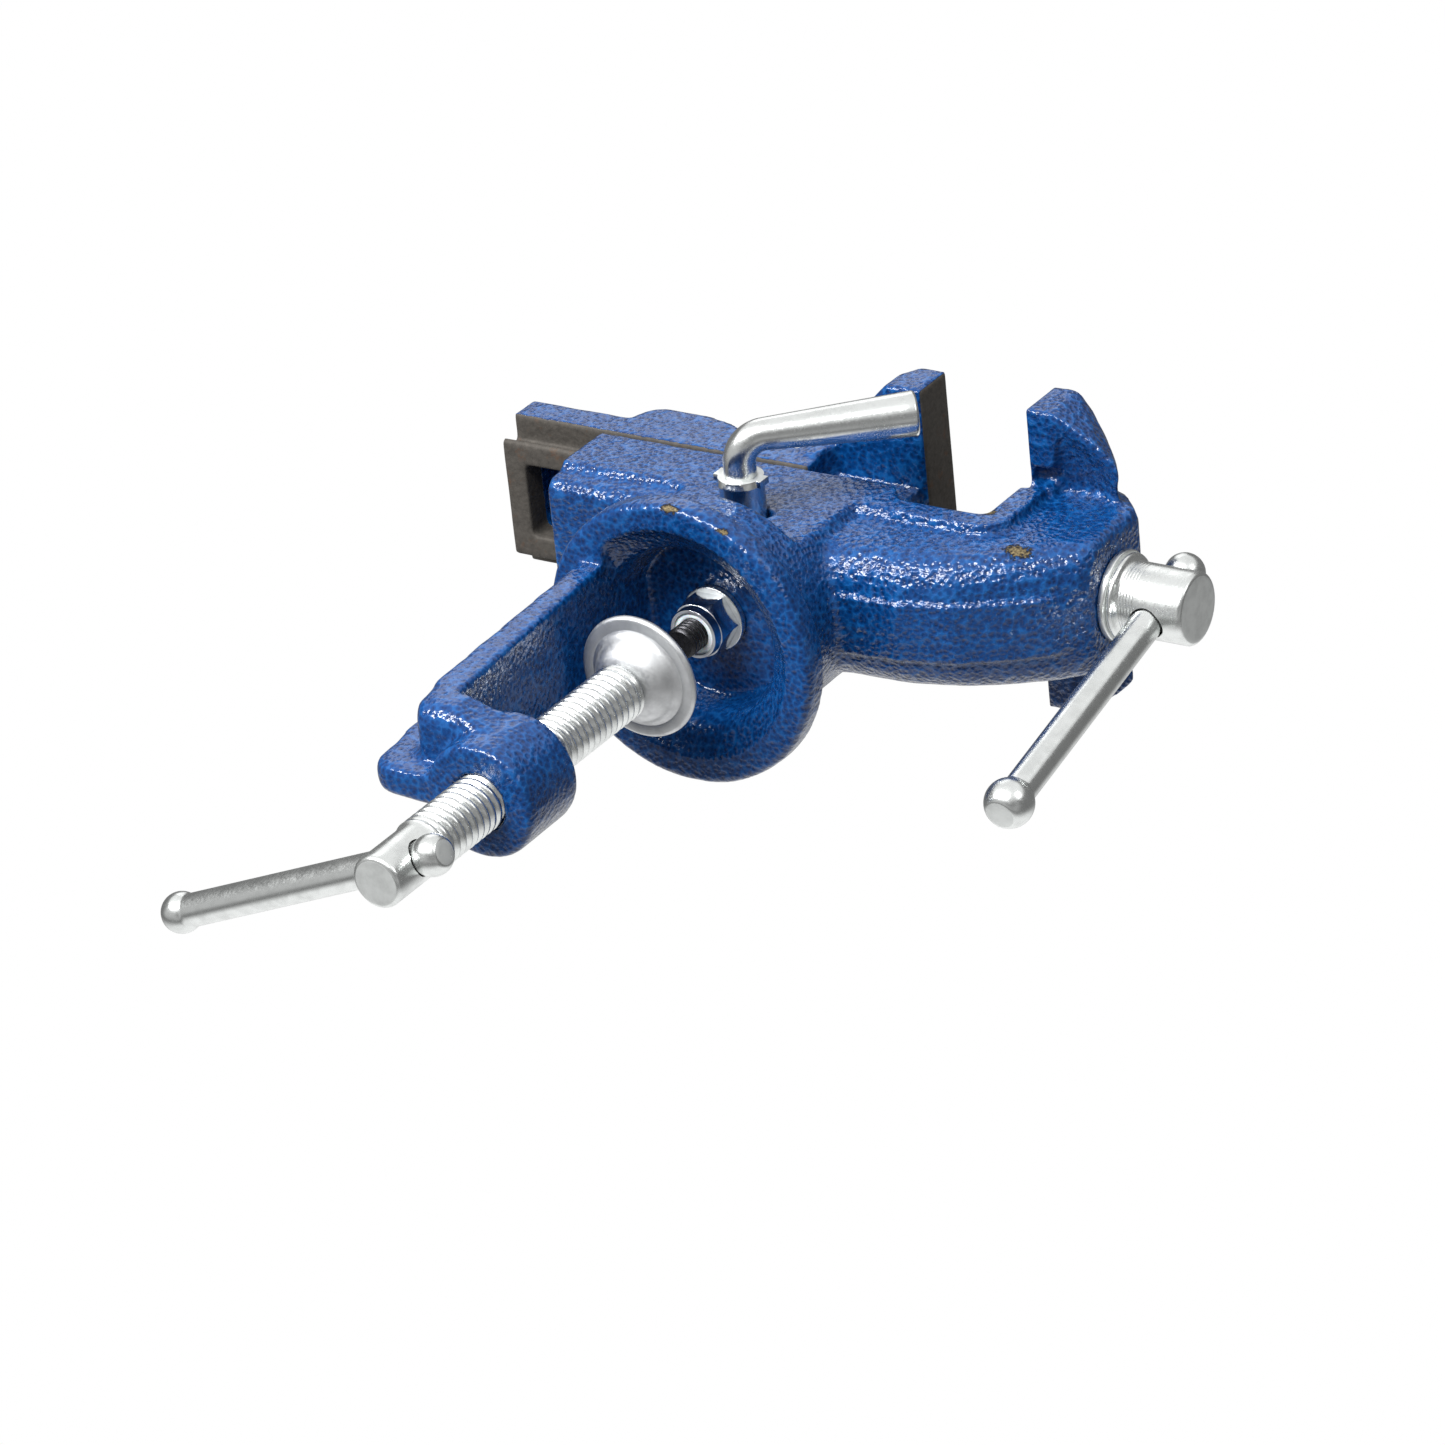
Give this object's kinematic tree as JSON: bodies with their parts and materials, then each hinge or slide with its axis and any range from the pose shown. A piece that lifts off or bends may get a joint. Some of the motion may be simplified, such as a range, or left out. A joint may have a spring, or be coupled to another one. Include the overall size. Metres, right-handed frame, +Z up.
{
  "type": "bench vise",
  "caption": "Small clamp-on bench vise with a swivelling cast body, a sliding jaw on a screw with a sliding bar, a bent lock lever and a C-shaped clamp with its own screw and pad.",
  "frame": {"origin": "where the swivel axis meets the face of the clamp frame that rests on the bench top", "axes": "+Z up the swivel axis from the bench face to the jaws; +X forward along the main screw, towards its handle; +Y to the side away from the lock lever"},
  "size_m": [0.1438, 0.0642, 0.1594],
  "materials": {
    "paint": "glossy hammered blue paint on cast iron",
    "zinc": "bright zinc plated steel, turned",
    "black_bolt": "black oxide steel, oiled",
    "bare_iron": "bare dark iron",
    "nylon": "translucent nylon"
  },
  "bodies": {
    "clamp": {"clamp_frame": "paint"},
    "pad": {"clamp_pad": "zinc"},
    "clamp_spindle": {"clamp_screw": "zinc"},
    "clamp_handle": {"clamp_bar": "zinc"},
    "body": {"vise_body": "paint", "swivel_bolt": "black_bolt", "swivel_washer": "zinc", "swivel_nut": "zinc", "swivel_nut_insert": "nylon"},
    "lock": {"lock_lever": "zinc", "lock_cam": "zinc", "lock_cam_ring": "bare_iron"},
    "jaw": {"moving_jaw": "paint", "main_nut": "bare_iron", "main_nut_screw": "zinc"},
    "main_spindle": {"main_screw": "zinc", "thrust_washer": "zinc", "inner_washer": "zinc", "retaining_pin": "bare_iron"},
    "main_handle": {"main_bar": "zinc"}
  },
  "joints": [
    {"name": "clamp_travel", "type": "slide", "parent": "clamp", "child": "pad", "axis": [0, 0, 1], "range_m": [-0.022, 0.011]},
    {"name": "clamp_screw_spin", "type": "hinge", "parent": "pad", "child": "clamp_spindle", "pos_m": [0, 0, 0], "axis": [0, 0, 1], "range_deg": [-4367, 2184]},
    {"name": "clamp_bar_slide", "type": "slide", "parent": "clamp_spindle", "child": "clamp_handle", "axis": [0.9252, -0.3795, 0], "range_m": [0, 0.0472]},
    {"name": "swivel", "type": "hinge", "parent": "clamp", "child": "body", "pos_m": [0, 0, 0.005], "axis": [0, 0, 1], "continuous": true},
    {"name": "lock_turn", "type": "hinge", "parent": "body", "child": "lock", "pos_m": [0, 0, 0.025], "axis": [0, 1, 0], "range_deg": [-8, 55]},
    {"name": "jaw_slide", "type": "slide", "parent": "body", "child": "jaw", "axis": [1, 0, 0], "range_m": [-0.014, 0.0216]},
    {"name": "main_screw_spin", "type": "hinge", "parent": "body", "child": "main_spindle", "pos_m": [0.05, 0, 0.04695], "axis": [1, 0, 0], "range_deg": [-4287.7, 2779.4]},
    {"name": "main_bar_slide", "type": "slide", "parent": "main_spindle", "child": "main_handle", "axis": [0, -0.2164, 0.9763], "range_m": [0, 0.0474]}
  ],
  "couplings": [
    {"joint": "clamp_screw_spin", "follows": "clamp_travel", "rad_per_m": 3463.7},
    {"joint": "main_screw_spin", "follows": "jaw_slide", "rad_per_m": -3463.7}
  ]
}
